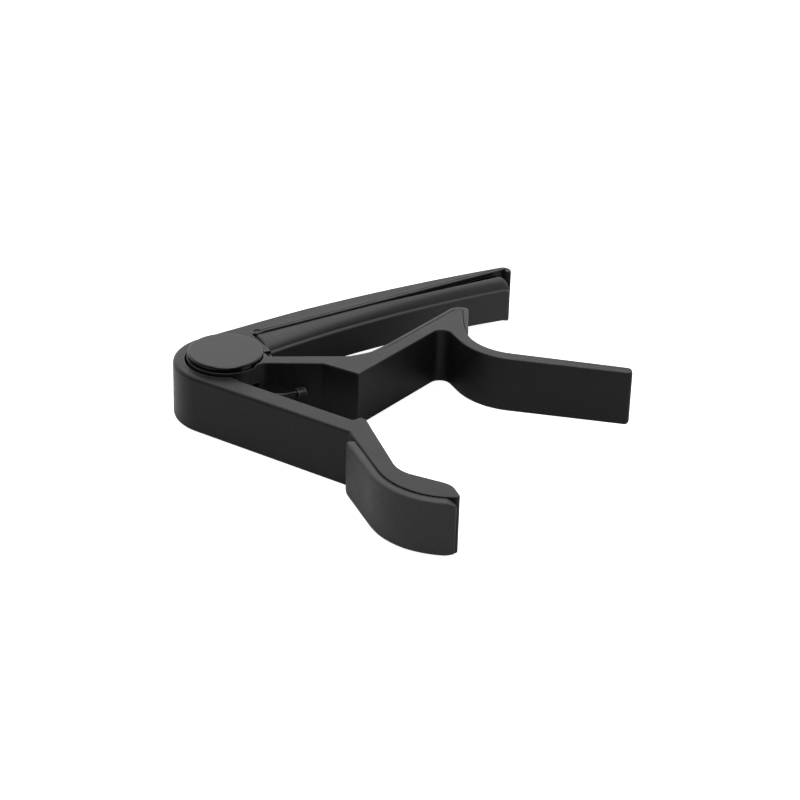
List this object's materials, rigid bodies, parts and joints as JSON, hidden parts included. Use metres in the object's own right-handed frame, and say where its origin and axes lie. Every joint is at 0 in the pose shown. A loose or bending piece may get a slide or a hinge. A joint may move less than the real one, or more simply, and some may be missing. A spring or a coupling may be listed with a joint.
{
  "type": "guitar capo",
  "caption": "One-hand trigger capo: a frame with a padded string bar and grip, and a sprung lever with a padded neck cradle and a trigger handle.",
  "frame": {"origin": "centre of the pivot rivet's head, in the plane that the capo lies on", "axes": "+Z along the pivot axis, from the underside to the round cap; +X along the lever's web, away from the pivot; +Y towards the string bar"},
  "size_m": [0.0968, 0.1045, 0.0148],
  "materials": {
    "casting": "satin black paint on cast metal",
    "cap": "satin black",
    "plated_steel": "zinc plated",
    "nylon": "natural",
    "spring_steel": "oil blackened",
    "rubber": "moulded matt"
  },
  "bodies": {
    "frame": {"frame": "casting", "string_pad": "rubber", "grip_pad": "rubber", "pivot_rivet": "plated_steel", "pivot_sleeve": "plated_steel", "rivet_washer": "plated_steel", "hub_washer": "nylon", "torsion_spring": "spring_steel"},
    "lever": {"trigger_lever": "casting", "neck_pad": "rubber", "pivot_cap": "cap"}
  },
  "joints": [
    {"name": "lever_pivot", "type": "hinge", "parent": "frame", "child": "lever", "pos_m": [0, 0, 0], "axis": [0, 0, -1], "range_deg": [0, 28], "stiffness_Nm_per_rad": 0.9, "springref_deg": -22.92, "deforming": ["torsion_spring"]}
  ]
}
